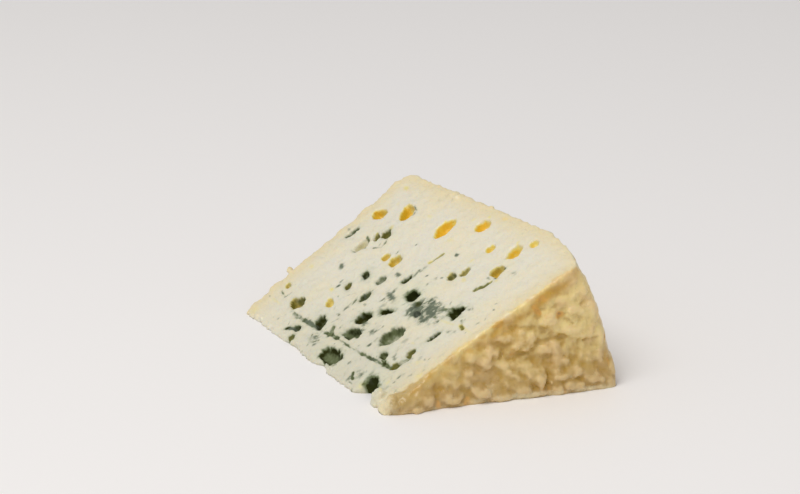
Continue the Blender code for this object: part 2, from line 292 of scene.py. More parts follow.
# Hollows of the upper cut face: place along the tip line, reach, width, height, turn in degrees, and tone.
HOLLOWS = (
    (68.5, 68.5, 7.5, 9.5, -15, AMBER), (52.5, 76.5, 6, 6, 20, AMBER), (25.5, 74, 5, 7.5, -20, HONEY),
    (37.3, 70.5, 4, 4, 0, HONEY), (21, 80, 4, 3.4, 0, HONEY), (95, 66.5, 9, 6, 35, TAWNY),
    (107.8, 60.8, 7, 5.5, 0, TAWNY), (73.5, 48.6, 6, 5.5, 30, OCHRE), (79.6, 48, 3.6, 3.6, 0, OCHRE),
    (23, 64.8, 6.5, 5, 0, OCHRE), (80, 22.2, 5.5, 3.2, 25, STRAW), (94.6, 15.6, 8, 5.5, 10, RUST),
    (109.4, 18.9, 3.4, 2.4, 25, BRONZE), (19.4, 44.2, 6.4, 5.2, 0, DARK), (46, 41, 6.6, 4.4, 10, BLACK_AND_SHADE),
    (39.3, 39.4, 3.4, 3, 0, DIM), (35.3, 36.4, 4.4, 2.6, 10, DARK), (34.3, 25, 9, 10, 35, FERN),
    (56.2, 24.6, 7, 6, -30, DIM), (53, 17.6, 8.6, 5.4, -8, MOSS), (49.2, 31, 5.4, 2.8, -25, DARK),
    (67, 31.2, 4.8, 4.4, 0, MOSS), (69, 39.6, 4.6, 4.2, 0, GREY), (78.6, 38.2, 5, 2.8, 15, DIM),
    (57.3, 44.6, 2.6, 4, 0, DIM), (40, 54.8, 6, 3.4, 20, LICHEN), (36.3, 58.4, 3.4, 4.6, -25, LICHEN),
    (92.4, 55.4, 5.6, 4, 15, OLIVE), (95.3, 52.4, 5.4, 2.6, 35, LICHEN), (97.6, 46.8, 5, 6.6, 0, PALE),
    (109.9, 49.2, 2.8, 5.6, 0, GREY), (73, 14.4, 7.4, 4.6, 30, DIM), (80.8, 31.2, 4.4, 2.8, 35, OLIVE),
    (17.3, 23.6, 3, 4.4, 0, OLIVE), (17.6, 16.8, 4.2, 3.6, 0, OLIVE), (27.3, 17.6, 4.2, 2.8, 15, DIM),
    (50, 6.8, 12, 6.4, 0, DARK), (80.2, 7.8, 4.8, 2.8, 0, MOSS), (77.4, 3.8, 3.4, 3, 0, PINE),
    # The hollow at the tip's bite: dark mould, and painted shade where the bite lies in shadow.
    (18, 7.2, 7.6, 4.6, 30, BLACK_AND_SHADE), (16.3, 33, 2.4, 5.6, 5, MOSS),
)
HOLLOW_DEPTH = 0.6
HOLLOW_DEEPEST = 4.2
HOLLOW_THROUGH = 0.65
DENT_DEPTH = 0.06
FLAKE_RELIEF = 1.3
FLAKE_LEAN = 0.8
FLAKE_LEAN_LIMITS = (0.4, 1.5)
FLAKE_ROUNDNESS = 0.45

# Veins and slits of the same face: width, depth, tone, and the places that each runs through.
VEINS = (
    (0.9, 0.5, ASH, ((18, 15.5), (27, 14.6))), (1.3, 0.6, LEAD, ((27, 14.6), (35, 14), (38, 13.8))),
    (0.7, 0.4, GREY, ((38, 13.8), (46, 13.4))), (1, 0.6, SMOKE, ((46, 13.4), (56, 13.3))),
    (1.5, 0.6, LEAD, ((56, 13.3), (60, 13.1), (65, 12.5))), (0.8, 0.5, GREY, ((65, 12.5), (74, 11.9))),
    (1.6, 0.6, PEWTER, ((74, 11.9), (82, 11.7), (90, 11.5))),
    (1.6, 0.8, DARK, ((17.5, 16), (23, 15.2), (27.3, 17.6))),
    (1.4, 0.5, GREY, ((22.5, 38.3), (27, 39), (31, 38), (34, 36.5))),
    (1.2, 0.5, GREY, ((24, 44), (26, 42.7), (31, 38))), (1.2, 0.9, DARK, ((20.2, 62.5), (20.7, 66.5))),
    (1.2, 0.8, OLIVE, ((54.8, 60), (55.8, 57.5), (56.4, 54.5))),
    (1, 0.5, GREY, ((87, 50), (87.6, 52.6), (89.4, 54.4), (91.5, 55))),
    (0.9, 0.5, GREY, ((88, 49.5), (90.3, 48))),
    (1, 0.5, MOSS, ((94.5, 46.5), (96.3, 49), (99.6, 50.4))),
    (1, 0.4, GREY, ((94.4, 46.4), (96, 43.4), (99.4, 42.8))),
    (1.5, 0.8, RUST, ((8.4, 40.7), (10.6, 41.3))), (1.3, 0.5, GREY, ((10.6, 41.3), (12.5, 43.2))),
    (2.8, 1, MOSS, ((15.6, 21.6), (16.8, 18.6), (17.8, 16.2))),
    (1.6, 0.8, OLIVE, ((20, 60), (20.6, 57.4), (22.6, 54.4))),
    (1, 0.5, GREY, ((45.8, 32.8), (48.5, 31.8))), (1.8, 0.9, DARK, ((61.5, 12.7), (64.3, 15.6))),
    (1, 0.5, GREY, ((68.6, 26.5), (70.2, 30))), (1.3, 0.6, MOSS, ((28.3, 5), (29.5, 5.1), (31.6, 6.7))),
    (1.2, 0.6, DARK, ((80.5, 7.5), (85, 5.4))),
    (1, 0.5, GREY, ((63.5, 8.8), (65.5, 6.9), (67, 6.6), (69.5, 9))),
    (0.9, 0.5, GREY, ((66, 5), (67.6, 7.4), (67.2, 9.6))),
    (0.8, 0.4, GREY, ((103.4, 17.4), (104.6, 14.7), (109, 15.5))),
    (0.8, 0.5, GREY, ((90.3, 66.8), (91.6, 69), (94.8, 69.9))),
)
RAG_SIZES = (3.2, 1.2)
RAG_DEPTHS = (0.34, 0.22)
VEIN_RAGS = 1.3
DENT_RAGS = 1.6
LEAST_RAGGED = 0.65

# Flakes of curd pressed on the near rind: place along its foot, height, width, tallness, turn, and how far
# they stand.
FLAKES = (
    (52.5, 8.8, 14.5, 6.4, -38, 1.7), (46, 9.8, 13.5, 4.4, -38, 1.1), (47.5, 4.6, 13, 4.4, -25, 1),
    (40, 16.6, 6.4, 5, -20, 1.1), (37, 13.2, 7, 4.4, -35, 1), (33, 15.6, 6, 5, -10, 0.9),
    (42.5, 12.6, 6.6, 4, -30, 0.9), (34.5, 4.2, 9, 4.2, -25, 1.4), (30.4, 8.6, 4.6, 7, -25, 0.8),
    (25, 9.4, 9, 6.6, -15, 0.7), (24.8, 3.6, 8.4, 6, -5, 1), (15.6, 4.8, 7, 5.6, -20, 0.9),
    (9.6, 4.2, 6.4, 4.8, -15, 0.9), (12, 1.6, 7, 3.4, 0, 0.8), (17.5, 9.2, 7, 3.6, 25, 0.5),
    (50.5, 19.5, 11, 7.4, -20, 1), (44, 21, 7.4, 5.4, -10, 0.8), (58.8, 25.8, 7, 6, -35, 1),
    (58, 15.8, 9, 4.6, -10, 0.9), (63.5, 11.5, 7.6, 4.6, -30, 1), (62, 7.2, 6.6, 4.4, -35, 1.1),
    (67.5, 7.4, 7, 4.6, -30, 1), (67, 3, 7.6, 3.8, -15, 1), (73.5, 5.4, 7.6, 5.4, -25, 0.9),
    (74, 12.4, 9, 7, -20, 0.7), (70, 20.5, 12, 7, 5, 0.6), (64, 22.5, 7, 6, -20, 0.7),
    (66.5, 33, 11, 10, 30, 0.5), (74, 27, 8, 10, 60, 0.5), (54, 1.8, 8.6, 3.4, 0, 0.8),
    (41.5, 1.8, 9.4, 3.4, 0, 0.9), (61.2, 2.4, 3.6, 4.6, 10, 0.7),
)
# Flakes of the rim and the far rind are sown by a seeded rule, with the same sizes and slants.
SOWN_FLAKES = 95
SOWN_WIDTH = (5.0, 12.0)
SOWN_TALLNESS = (3.5, 7.0)
SOWN_TURN = (-20.0, 20.0)
SOWN_STAND = (0.4, 1.1)


def sown_flakes(seed, start, wide, high):
    """Rows of flakes over a side, from a start along it, to its width and height."""
    draw = random.Random(seed)
    rows = []
    for _ in range(SOWN_FLAKES):
        across, up = draw.uniform(start, wide), draw.uniform(0.0, high)
        width, tall = draw.uniform(*SOWN_WIDTH), draw.uniform(*SOWN_TALLNESS)
        rows.append((across, up, width, tall, draw.gauss(*SOWN_TURN), draw.uniform(*SOWN_STAND)))
    return rows


RIM_FLAKES = sown_flakes(seed=31, start=18.0, wide=125.0, high=48.0)
FAR_FLAKES = sown_flakes(seed=32, start=0.0, wide=85.0, high=48.0)

# Dents between them: the same, with how stained and how mouldy each is. A full stain is rust brown.
REDDISH = (0.75, 0.0)
STAINED = (0.55, 0.0)
FAINT = (0.3, 0.0)
RUSTY = (1.0, 0.0)
TANNED = (0.7, 0.05)
FOXED = (0.8, 0.1)
OLIVINE = (0.4, 0.08)
MOSSY = (0.4, 0.14)
RIND_DENTS = (
    (56.3, 32.6, 4.2, 2.4, -12, REDDISH), (55, 28.6, 2.2, 4.8, 40, RUSTY),
    (41.5, 25.2, 5, 2.6, 0, STAINED), (35.5, 21.6, 4.4, 2.6, 10, FAINT), (63, 27, 3.4, 2.6, 10, RUSTY),
    (46.5, 15.4, 3.6, 3.8, -30, STAINED), (67.8, 14.8, 2.4, 2.2, 0, OLIVINE),
    (79.3, 17.2, 1.5, 2.9, -10, RUSTY), (80.3, 9, 1.6, 4.4, 0, STAINED), (35.6, 8.6, 2.2, 9, 40, MOSSY),
    (30, 1.4, 2.4, 3.6, 0, FOXED), (19.8, 1.6, 2, 3.2, 10, TANNED), (57.2, 3, 4, 3, -15, STAINED),
    (63.4, 0.8, 2.4, 1.8, 0, STAINED), (31.5, 17.8, 4.6, 1.8, -10, FAINT),
    (24.5, 13.9, 5.2, 2, -5, FAINT), (17.2, 11.2, 6, 2.4, 8, STAINED),
)
# Curds of the near rind that are as pale as the paste, and a few small painted highlights on the tops of
# curds: the same, with an amount.
PALE_CURDS_AND_HIGHLIGHTS = (
    (38.2, 4.2, 5.4, 6, -30, 0.5), (34, 1.4, 8, 2.6, 0, 0.5), (49, 1.2, 20, 3, 0, 0.7),
    (61, 1, 4, 2.4, 0, 0.5), (72, 0.8, 22, 3, 0, 0.6), (24.5, 3, 4, 3.4, 0, 0.3), (12, 2, 6, 3, 0, 0.3),
    (56, 8, 3, 3, -30, 0.3), (66, 5.6, 4, 2.4, -20, 0.4), (62, 8.6, 3, 2, -20, 0.35),
    (71, 6.4, 3, 2, -20, 0.35), (80.6, 20, 2.4, 26, 10, 0.6), (76.4, 32, 2.4, 16, 20, 0.6),
)
# Ripe patches of the near rind, along its upper edge: the same, with an amount.
RIPE_CURDS = (
    (12, 7.2, 6, 2.2, 32, 0.6), (17.5, 11, 6.4, 2.4, 32, 0.7), (24.5, 14.6, 4.6, 2.8, 40, 0.5),
    (32.5, 17.6, 4.4, 2, 15, 0.6), (36.6, 21.8, 4.4, 2.2, 25, 0.7), (42, 25.4, 5.2, 3, 15, 1.2),
    (56.6, 32.4, 4.6, 2.8, -10, 1.2), (49.4, 29.4, 4, 2, 35, 0.4), (28, 8.4, 4.6, 2.4, -10, 0.4),
    (79, 10, 2.4, 5, 0, 0.5),
)
# Cracks of the near rind: width, depth, tone, and the places that each runs through.
RIND_CRACKS = (
    (1.2, 0.7, BARE, ((54, 17.8), (60, 18.8), (66, 18.4), (71, 17.2), (77, 17.4))),
    (1.3, 0.8, BARE, ((45, 10.8), (49, 7.8), (53, 5.2), (58, 4.2))),
)

# Smears, where the knife dragged mould over the paste: place, reach, width, height, turn, and amount.
SMEARS = (
    (31.5, 39.6, 17, 8, 5, 0.62), (34.2, 42.5, 5, 4.5, 0, 0.62), (28.3, 36.2, 6, 4.5, -30, 0.66),
    (36, 37.4, 11, 6.5, 0, 0.8), (25.8, 41.6, 3, 4.5, 45, 0.55), (54.8, 36.3, 9, 3.4, 15, 0.4),
    (57, 38.6, 3, 5, -10, 0.38), (56.3, 50, 2.4, 8, -5, 0.34), (44.3, 23, 5.5, 5, 0, 0.36),
    (63.5, 44.6, 6.5, 2.2, 0, 0.34), (9.4, 15.8, 5, 6, 20, 0.16), (22, 19.4, 6, 3.6, 30, 0.32),
    (24, 21.8, 2.6, 3.6, 0, 0.3), (10.2, 14.6, 1.6, 3.6, 10, 0.3), (6.6, 17.8, 3.6, 1.6, 25, 0.24),
    (13.4, 22, 3, 2, 60, 0.26), (16.6, 11.8, 2.4, 1, -20, 0.24), (24, 22.2, 1.2, 4, 15, 0.24),
    (28.6, 8, 5.6, 3.4, -20, 0.3), (14.8, 47.6, 3, 1.6, -20, 0.34), (14.2, 66.5, 4, 4, 0, 0.22),
    (22.4, 60.9, 2.6, 1.8, 0, 0.32), (51.6, 23.4, 5, 3.4, 0, 0.4), (49.6, 20.4, 2.4, 3.4, 20, 0.52),
    (66.2, 19.2, 3, 2.4, 0, 0.32), (68.8, 20.6, 4, 1.6, 0, 0.34), (69.3, 24, 2, 6.5, -8, 0.3),
    (66.6, 8.6, 7, 5, 0, 0.36), (63.8, 6.6, 4, 2, 20, 0.42), (94.4, 35.9, 6, 2.8, 20, 0.36),
    (97.6, 46.4, 5.4, 6, 0, 0.26), (113, 49.2, 4.4, 2, 0, 0.24), (105.6, 46.6, 3, 1.6, 0, 0.18),
    (85.2, 28.9, 1.6, 2.8, 0, 0.62), (78, 38, 7.4, 3.6, 10, 0.4), (48.8, 62.2, 3.2, 2.2, 0, 0.4),
    (26, 8, 2.8, 4, 15, 0.4), (30.6, 4.6, 3.4, 4.8, -20, 0.36), (37.9, 8.8, 1.8, 2.2, 0, 0.48),
    (38.8, 17.8, 1.8, 2.2, 0, 0.5), (28, 14.8, 22, 2.4, -3, 0.26), (46, 13.6, 26, 2.2, -2, 0.18),
    (76, 12, 30, 2, -2, 0.34), (79.5, 11.8, 9, 2.6, -2, 0.52), (82.6, 6.4, 5, 2.2, -35, 0.45),
    (94.6, 6.6, 2, 1.4, 0, 0.45), (93.6, 9.2, 3, 1.4, 0, 0.22), (62.6, 28.8, 1.6, 2, 0, 0.4),
    (45.4, 50.8, 2.4, 1.5, 20, 0.55), (43.2, 52.2, 1.6, 1, -20, 0.4), (50.3, 49.9, 1.4, 1.4, 0, 0.5),
    (45.8, 47.4, 1.6, 1.4, 20, 0.36), (4.2, 45, 1.8, 2.4, 20, 0.28), (4.6, 52, 1.2, 1, 0, 0.3),
    (46, 82.6, 1.6, 1.2, -10, 0.2), (12.4, 37.2, 4, 3.6, 30, 0.24), (9.6, 38.4, 4, 1.6, 0, 0.2),
    (104.5, 15.6, 3.4, 4, 0, 0.16), (68.6, 39.6, 5.6, 4.6, 0, 0.34), (53.8, 32.2, 3.4, 4, -20, 0.22),
)
# The like yellow ones, where the paste has ripened.
RIPE_SPOTS = (
    (38.8, 63.2, 2.4, 2.6, 0, 0.34), (59.3, 76.6, 2.4, 2.4, 0, 0.3), (59, 65.6, 5, 3.6, 0, 0.26),
    (81.8, 69.6, 5, 1.8, 0, 0.26), (104, 67.6, 4, 2.6, 20, 0.22), (9.8, 22.4, 2.8, 2.4, -20, 0.26),
    (12, 11, 2.4, 3.2, 0, 0.28), (9.6, 7.2, 4.6, 1.4, 10, 0.28), (86.1, 26.7, 3.2, 2.2, 0, 0.46),
    (109, 29.6, 3.4, 2.6, 0, 0.3), (105.5, 11.4, 10, 1.6, 0, 0.28), (21.4, 26.9, 2.8, 1.4, -10, 0.26),
    (109.6, 74.6, 5, 2.2, 5, 0.44), (32, 55.6, 4.4, 2.2, 20, 0.36), (18.2, 61.6, 2.4, 2, 0, 0.34),
    (56.6, 55.2, 2.6, 3.4, 0, 0.4), (97.8, 45, 2.6, 2.4, 0, 0.3), (93.2, 58, 3, 2.4, 30, 0.4),
    (6, 41, 12, 1.4, 0, 0.26), (54, 80.6, 3, 1.8, 30, 0.34), (28.2, 77.2, 2, 2.4, -30, 0.36),
    (60, 35.8, 4, 1.4, 0, 0.24), (52.8, 24, 2, 1.6, 0, 0.2), (21.8, 4.8, 3.4, 4.6, 0, 0.3),
    (10.8, 41, 3.6, 1.8, 15, 0.4), (111, 4, 8, 5, 30, 0.24), (18, 39.6, 14, 1.4, -8, 0.28),
    (2, 19, 3.6, 3.6, 0, 0.3), (1.6, 7, 3, 3.6, 0, 0.26), (8.6, 23.4, 4.6, 1.4, -10, 0.22),
    (25, 12.2, 3, 1, 0, 0.2),
)

# Hollows of the lower cut face are sown by a seeded rule, clear of the middle that it rests on.
UNDER_HOLLOWS = 16
UNDER_SIZE = (3.5, 7.5)
UNDER_STRETCH = (0.6, 1.0)
UNDER_MARGIN = 12.0
UNDER_CLEAR_SPOT = (42.0, 57.0)
UNDER_CLEAR_RADIUS = 14.0
UNDER_TONES = (DARK, MOSS, OCHRE, DARK, OLIVE, MOSS, HONEY)


def raggedness(mouldy):
    """How ragged a hollow's rim is: young hollows are smooth, and mould eats into the rim."""
    return min(LEAST_RAGGED + mouldy, 1.0)


class Side:
    """One side of the wedge, seen square on: where each vertex lies across and up it, in millimetres."""

    def __init__(self, places, across, up, outward, steepness, through=math.inf):
        self.across = places @ np.array(across) / MM
        self.up = places @ np.array(up) / MM
        self.out = places @ np.array(outward) / MM
        self.outward = np.array(outward)
        self.steepness = steepness
        self.through = through
        flat = np.stack([self.across, self.up, np.zeros(len(places))], axis=1)
        self.rags = sum(depth * wander(flat, size, 11) for size, depth in zip(RAG_SIZES, RAG_DEPTHS))

    def from_hollow(self, across, up, width, height, turn, ragged=1.0):
        """0 at the hollow's middle, 1 at its ragged rim."""
        east, north = self.across - across, self.up - up
        cos, sin = math.cos(math.radians(turn)), math.sin(math.radians(turn))
        wide = (east * cos + north * sin) / (width / 2)
        high = (north * cos - east * sin) / (height / 2)
        return np.hypot(wide, high) * (1.0 + ragged * self.rags)

    def from_vein(self, width, route):
        """0 on the vein's line, 1 at its ragged edge."""
        nearest = np.full(len(self.across), np.inf)
        for (start_across, start_up), (end_across, end_up) in zip(route, route[1:]):
            run = np.array((end_across - start_across, end_up - start_up))
            east, north = self.across - start_across, self.up - start_up
            share = np.clip((east * run[0] + north * run[1]) / (run @ run), 0.0, 1.0)
            nearest = np.minimum(nearest, np.hypot(east - share * run[0], north - share * run[1]))
        return nearest / (width / 2) * (1.0 + VEIN_RAGS * self.rags)

    def depth(self, rows, veins):
        """How deep the side is dented at each vertex, in millimetres."""
        depth = np.zeros(len(self.across))
        for *mouth, (_, mouldy) in rows:
            inside = np.clip(1.0 - self.from_hollow(*mouth, raggedness(mouldy)) ** 2, 0.0, 1.0)
            deepest = min(self.steepness * max(mouth[2:4]), HOLLOW_DEEPEST, self.through * mouth[1])
            depth = np.maximum(depth, deepest * inside**0.5)
        for width, sunk, _, route in veins:
            inside = np.clip(1.0 - self.from_vein(width, route) ** 2, 0.0, 1.0)
            depth = np.maximum(depth, sunk * inside**0.5)
        return depth

    def raised(self, flakes):
        """How far the flakes stand out at each vertex, in millimetres: steep below, gentle above."""
        height = np.zeros(len(self.across))
        for across, up, width, tall, turn, stand in flakes:
            inside = np.clip(1.0 - self.from_hollow(across, up, width, tall, turn) ** 2, 0.0, 1.0)
            lean = np.clip(1.0 - FLAKE_LEAN * (self.up - up) / tall, *FLAKE_LEAN_LIMITS)
            height = np.maximum(height, stand * lean * inside**FLAKE_ROUNDNESS)
        return height


def under_hollows():
    """The rows of the lower face's hollows."""
    draw = random.Random(5)
    far_end = SECTION_CORNERS[1][1] / MM
    rows = []
    while len(rows) < UNDER_HOLLOWS:
        reach = draw.uniform(UNDER_MARGIN, RIM / MM - UNDER_MARGIN)
        along = draw.uniform(UNDER_MARGIN, far_end - UNDER_MARGIN)
        size = draw.uniform(*UNDER_SIZE)
        stretch = draw.uniform(*UNDER_STRETCH)
        turned = draw.uniform(0.0, math.pi)
        if math.hypot(reach - UNDER_CLEAR_SPOT[0], along - UNDER_CLEAR_SPOT[1]) < UNDER_CLEAR_RADIUS:
            continue
        tone = UNDER_TONES[len(rows) % len(UNDER_TONES)]
        rows.append((along, reach, size, size * stretch, math.degrees(turned), tone))
    return rows


ALONG = (0.0, 1.0, 0.0)
UPHILL = (math.cos(WEDGE_ANGLE), 0.0, math.sin(WEDGE_ANGLE))
UPPER_OUT = (-math.sin(WEDGE_ANGLE), 0.0, math.cos(WEDGE_ANGLE))
ACROSS = (1.0, 0.0, 0.0)
UP = (0.0, 0.0, 1.0)
DOWN = (0.0, 0.0, -1.0)
NEAR = (0.0, -1.0, 0.0)
FAR = (0.0, 1.0, 0.0)
OUT = (1.0, 0.0, 0.0)
UNDER_ROWS = under_hollows()


def sides(places):
    """The upper cut face, the lower one and the near rind, each with its hollows and veins."""
    upper = Side(places, ALONG, UPHILL, UPPER_OUT, HOLLOW_DEPTH, HOLLOW_THROUGH * math.tan(WEDGE_ANGLE))
    lower = Side(places, ALONG, ACROSS, DOWN, HOLLOW_DEPTH)
    near = Side(places, ACROSS, UP, NEAR, DENT_DEPTH)
    return (upper, HOLLOWS, VEINS), (lower, UNDER_ROWS, ()), (near, RIND_DENTS, RIND_CRACKS)


shape += relief[:, None] * facing
shape[resting, 2] = 0.0
moves = np.zeros(shape.shape)
for side, rows, veins in sides(shape):
    share = smooth_step(*SQUARE_ON, facing @ side.outward)
    moves -= (share * side.depth(rows, veins) * MM)[:, None] * side.outward
# Sides with flakes: the directions across and out of each, its flakes, and how far they are set back.
FLAKED_SIDES = (
    (ACROSS, NEAR, FLAKES, 0),
    (ALONG, OUT, RIM_FLAKES, 0.5),
    (ACROSS, FAR, FAR_FLAKES, 0.5),
)
for across, outward, flakes, set_back in FLAKED_SIDES:
    share = smooth_step(*SQUARE_ON, facing @ np.array(outward))
    raised = Side(shape, across, UP, outward, DENT_DEPTH).raised(flakes)
    moves += (share * FLAKE_RELIEF * (raised - set_back) * MM)[:, None] * np.array(outward)
shape += moves


# ---- The crumbled tip ------------------------
# Where the two cuts meet the paste is thin and has crumbled, and a bite shows where it broke at a hollow.
# No vertex stays nearer the tip line than the crumbled limit, and loose crumbs are joined on with the last
# regrain.

TIP_WEAR = 0.7 * MM
TIP_WEAR_GRAIN = 5 * MM
TIP_CRUMBLE = 0.5 * MM
TIP_CRUMBLE_GRAIN = 1.8 * MM
TIP_REACH = 12 * MM
BITE_FLOOR = 0.35
# Bites: place along the tip line, half width and depth, in millimetres.
TIP_BITES = ((5.6, 2.2, 1.4), (16.4, 6.8, 6.3), (48.6, 5.5, 2.4), (73, 8, 1.3))


def tip_limit(places):
    """How far from the tip line the crumbled edge starts, at each place along it."""
    grain = places * (0.0, 1.0, 1.0)
    limit = TIP_WEAR * (1.0 + wander(grain, TIP_WEAR_GRAIN, 1))
    limit += TIP_CRUMBLE * wander(grain, TIP_CRUMBLE_GRAIN, 9)
    for along, half_width, depth in TIP_BITES:
        off = np.abs(places[:, 1] - along * MM) / (half_width * MM)
        limit += depth * MM * (1.0 - smooth_step(BITE_FLOOR, 1.0, off))
    return limit


# Knobs and flakes that stand out at the edges: place in the wedge's frame, and radius, in millimetres.
KNOBS = (
    (4.4, 0.2, 2.7, 3.1), (7.6, 1, 3.2, 3.2), (4.6, 3.4, 1.9, 2), (4.2, 7.8, 2.7, 2.3),
    (3.4, 9.6, 2.4, 1.8), (5.8, 10.8, 3, 2.2), (20.2, 118, 12.6, 1.3), (20.5, 119.3, 12.8, 0.8),
    (69, 79.6, 43.2, 2.3), (69.2, 83.4, 43, 2.2),
)
STEPS_EVENED = 1
TIP_CRUMBS = 70
TIP_CRUMB_ALONG = (2.0, 113.0)
TIP_CRUMB_UP = (0.2, 1.5)
TIP_CRUMB_SIZE = (0.45, 1.05)
TIP_CRUMB_OUT = 0.4
KNOB_LUMPS = 0.16
KNOB_LUMP_SIZE = 0.9


def sown_crumbs():
    """Crumbs that cling along the tip, each half sunk in it."""
    draw = random.Random(8)
    crumbs = []
    for _ in range(TIP_CRUMBS):
        along = draw.uniform(*TIP_CRUMB_ALONG)
        up = draw.uniform(*TIP_CRUMB_UP)
        radius = draw.uniform(*TIP_CRUMB_SIZE)
        start = tip_limit(np.array(((0.0, along, up),)) * MM)[0] / MM
        start = max(start, up / math.tan(WEDGE_ANGLE))
        crumbs.append((start + TIP_CRUMB_OUT * radius, along, up, radius))
    return crumbs


def with_knobs(item):
    """Add the knobs and crumbs as lumpy balls that the regrain joins to the wedge."""
    mesh = bmesh.new()
    mesh.from_mesh(item.data)
    for x, y, z, radius in (*KNOBS, *sown_crumbs()):
        ball = bmesh.ops.create_icosphere(mesh, subdivisions=3, radius=radius * MM)["verts"]
        for vertex in ball:
            lump = noise.noise(vertex.co / (KNOB_LUMP_SIZE * radius * MM) + Vector((x, y, z)))
            vertex.co *= 1.0 + KNOB_LUMPS * lump
            vertex.co += Vector((x, y, z)) * MM
            vertex.co.z = max(vertex.co.z, 0.0)
    mesh.to_mesh(item.data)
    mesh.free()
    return item


shape[:, 2] = np.maximum(shape[:, 2], 0.0)
near_tip = shape[:, 0] < TIP_REACH
shape[near_tip, 0] = np.maximum(shape[near_tip, 0], tip_limit(shape[near_tip]))
cheese.data.vertices.foreach_set("co", shape.ravel())
softened(regrained(with_knobs(cheese), GRAIN), STEPS_EVENED)


# ---- The finished surface --------------------
# A cut through moist curds leaves a fine, crumbly grain, and the underside is flat where it rests. The
# underside and the back, where little detail shows, are thinned so that the piece stays light. Then each
# amount that the finish reads is painted.

CRUMBS = ((2.6 * MM, 0.24 * MM), (1.2 * MM, 0.14 * MM))
UNDER_KEPT = 0.12
BACK_KEPT = 0.42
BACKWARD = np.array((0.8, 0.6, 0.0))
BACK_FROM = 0.45
FOLD_SIZE = 0.05 * MM


def flattened(places):
    """Rest the underside on the ground."""
    places[places[:, 2] < FLAT_WITHIN, 2] = 0.0
    return places


def thinned(item, chosen, kept):
    """Keep a share of the faces, where all the corners are among the chosen vertices."""
    group = item.vertex_groups.new(name="thinned")
    group.add([int(i) for i in np.flatnonzero(chosen)], 1.0, "REPLACE")
    thin = item.modifiers.new("thin", "DECIMATE")
    thin.vertex_group = group.name
    item.data.calc_loop_triangles()
    count = sum(chosen[list(part.vertices)].all() for part in item.data.loop_triangles)
    thin.ratio = 1.0 - (1.0 - kept) * count / len(item.data.loop_triangles)
    applied(item)
    item.vertex_groups.clear()
    return item


def mended(item):
    """Close the few tiny folds that thinning leaves, and take off fins of two faces back to back."""
    mesh = bmesh.new()
    mesh.from_mesh(item.data)
    bmesh.ops.dissolve_degenerate(mesh, edges=mesh.edges[:], dist=FOLD_SIZE)
    bmesh.ops.triangulate(mesh, faces=mesh.faces[:])
    on_corners = {}
    for face in mesh.faces:
        on_corners.setdefault(frozenset(face.verts), []).append(face)
    fins = [face for faces in on_corners.values() if len(faces) > 1 for face in faces]
    bmesh.ops.delete(mesh, geom=fins, context="FACES")
    mesh.to_mesh(item.data)
    mesh.free()
    return item


def evened(item, values, passes):
    """A value of each vertex, averaged with its neighbours' the given number of times."""
    ends = np.empty(2 * len(item.data.edges), dtype=np.int64)
    item.data.edges.foreach_get("vertices", ends)
    start, end = ends.reshape(-1, 2).T
    count = np.bincount(ends, minlength=len(values))[:, None]
    for _ in range(passes):
        total = np.empty_like(values)
        for axis in range(3):
            total[:, axis] = np.bincount(start, values[end, axis], len(values))
            total[:, axis] += np.bincount(end, values[start, axis], len(values))
        values = 0.5 * values + 0.5 * total / count
    return values


thinned(cheese, points_of(cheese)[:, 2] < FLAT_WITHIN, UNDER_KEPT)
back = points_of(cheese, "normal") @ BACKWARD > BACK_FROM
mended(thinned(cheese, back, BACK_KEPT))
shape, facing = points_of(cheese), points_of(cheese, "normal")
crumbling = sum(depth * wander(shape, size, 10) for size, depth in CRUMBS)
flattened(shape)

# How far each vertex is from the rinds and the rim, whose edges are straight lines between the section's
# corners.
HEEL_OUT = 3 * MM
EDGE_WAVER = (3 * MM, 0.5 * MM)
reach, along = np.hypot(shape[:, 0], shape[:, 2]), shape[:, 1]
_, far_tip, far_rim, near_rim, near_heel, near_bend = np.array(SECTION_CORNERS)[:, :2]
from_near = along - np.interp(reach, (0.0, near_bend[0], near_heel[0]), (0.0, near_bend[1], near_heel[1]))
from_far = np.interp(reach, (far_tip[0], far_rim[0]), (far_tip[1], far_rim[1])) - along
rim_line = near_heel[0] + HEEL_OUT, near_rim[0], far_rim[0]
from_rim = np.interp(along, (near_heel[1], near_rim[1], far_rim[1]), rim_line) - reach
skin_depth = np.minimum(np.minimum(from_near, from_far), from_rim)
skin_depth += EDGE_WAVER[1] * wander(shape, EDGE_WAVER[0], 12)

# The grain is coarser within a few millimetres of an edge, where the knife pulled curds away.
EDGE_CRUMBLES = 1.0
EDGE_WIDTH = 2.5 * MM
CORNER = (4 * MM, 3 * MM, 1 * MM)
CORNER_RADIUS = 9 * MM
CORNER_CRUMBS = ((3.2 * MM, 0.9 * MM), (1.5 * MM, 0.45 * MM))
EDGE_BITES = (6 * MM, 0.8 * MM)
at_edge = np.exp(-np.abs(skin_depth) / EDGE_WIDTH)
crumbling = crumbling * (1.0 + EDGE_CRUMBLES * at_edge)
crumbling += EDGE_BITES[1] * at_edge * wander(shape, EDGE_BITES[0], 17)
from_corner = np.linalg.norm(shape - np.array(CORNER), axis=1) / CORNER_RADIUS
coarse = sum(depth * wander(shape, size, 16) for size, depth in CORNER_CRUMBS)
crumbling += np.exp(-(from_corner**4)) * coarse
shape += crumbling[:, None] * facing
flattened(shape)
